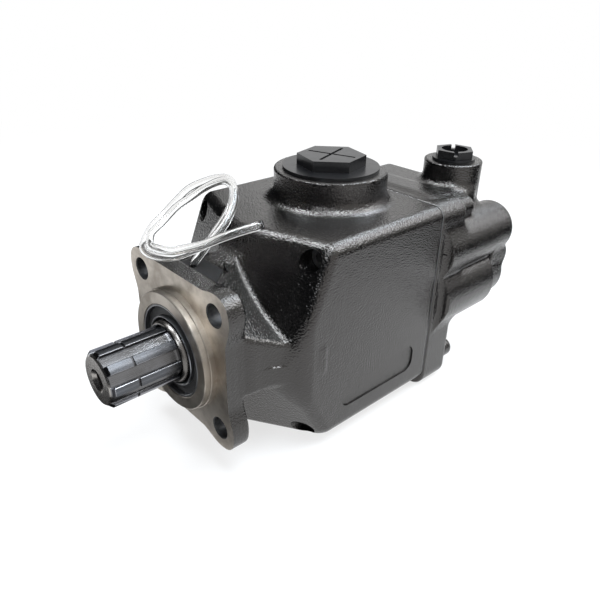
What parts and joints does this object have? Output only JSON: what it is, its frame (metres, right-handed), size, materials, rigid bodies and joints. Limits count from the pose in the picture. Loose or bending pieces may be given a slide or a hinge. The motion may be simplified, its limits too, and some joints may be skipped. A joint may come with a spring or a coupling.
{
  "type": "hydraulic components and fittings",
  "caption": "Variable axial-piston hydraulic pump with a four-hole flange, splined shaft, plugged suction and pressure ports and a rear pressure regulator",
  "frame": {"origin": "centre of the pilot on the flange's mounting face", "axes": "the shaft points along -Y, the rear cover is at +Y, the suction port faces +Z, the control cylinders are on the +X side"},
  "size_m": [0.1425, 0.3316, 0.1797],
  "materials": {
    "cast_black": "gloss black paint on a rough cast surface",
    "machined_steel": "turned and ground",
    "bearing_steel": "ground",
    "spring_steel": "drawn wire",
    "dark_steel": "blackened",
    "cast_grey": "machined grey iron",
    "bronze": "machined",
    "seal_rubber": "moulded",
    "gasket_sheet": "flat sheet",
    "plug_plastic": "moulded",
    "leak_plastic": "moulded",
    "clear_tube": "clear soft plastic"
  },
  "bodies": {
    "pump": {"main_housing": "cast_black", "rear_cover": "cast_black", "regulator_body": "cast_black", "leak_block": "leak_plastic", "leak_tube": "clear_tube", "outer_seal": "seal_rubber", "inner_seal": "seal_rubber", "leak_ring": "machined_steel", "seal_circlip": "spring_steel", "front_cup": "bearing_steel", "rear_cup": "bearing_steel", "cradle": "cast_grey", "cradle_shells": "bronze", "swashplate": "cast_grey", "valve_plate": "bronze", "locating_pin": "machined_steel", "cover_gasket": "gasket_sheet", "regulator_screws": "dark_steel", "control_piston": "machined_steel", "bias_piston": "machined_steel", "bias_spring": "spring_steel", "regulator_spring": "spring_steel", "adjusting_screw": "dark_steel", "lock_nut": "dark_steel", "long_screws": "dark_steel", "suction_plug": "plug_plastic", "pressure_plug": "plug_plastic"},
    "rotating_group": {"drive_shaft": "machined_steel", "cylinder_block": "machined_steel", "retainer_plate": "machined_steel", "ball_guide": "machined_steel", "block_spring": "spring_steel", "front_cone": "bearing_steel", "rear_cone": "bearing_steel", "piston_1": "machined_steel", "piston_2": "machined_steel", "piston_3": "machined_steel", "piston_4": "machined_steel", "piston_5": "machined_steel", "piston_6": "machined_steel", "piston_7": "machined_steel", "piston_8": "machined_steel", "piston_9": "machined_steel", "slipper_1": "bronze", "slipper_2": "bronze", "slipper_3": "bronze", "slipper_4": "bronze", "slipper_5": "bronze", "slipper_6": "bronze", "slipper_7": "bronze", "slipper_8": "bronze", "slipper_9": "bronze"},
    "front_cage_set": {"front_cage": "bronze", "front_rollers": "bearing_steel"},
    "rear_cage_set": {"rear_cage": "bronze", "rear_rollers": "bearing_steel"},
    "spool_set": {"spool": "machined_steel", "spring_seat": "machined_steel"}
  },
  "joints": [
    {"name": "shaft_turn", "type": "hinge", "parent": "pump", "child": "rotating_group", "pos_m": [0, 0, 0], "axis": [0, 1, 0], "continuous": true},
    {"name": "front_cage_turn", "type": "hinge", "parent": "pump", "child": "front_cage_set", "pos_m": [0, 0, 0], "axis": [0, 1, 0], "continuous": true},
    {"name": "rear_cage_turn", "type": "hinge", "parent": "pump", "child": "rear_cage_set", "pos_m": [0, 0, 0], "axis": [0, 1, 0], "continuous": true},
    {"name": "spool_slide", "type": "slide", "parent": "pump", "child": "spool_set", "axis": [0, 1, 0], "range_m": [0, 0.003], "stiffness_N_per_m": 8000, "springref_m": -0.003, "deforming": ["regulator_spring"]}
  ],
  "couplings": [
    {"joint": "front_cage_turn", "follows": "shaft_turn", "ratio": 0.4366},
    {"joint": "rear_cage_turn", "follows": "shaft_turn", "ratio": 0.4194}
  ]
}
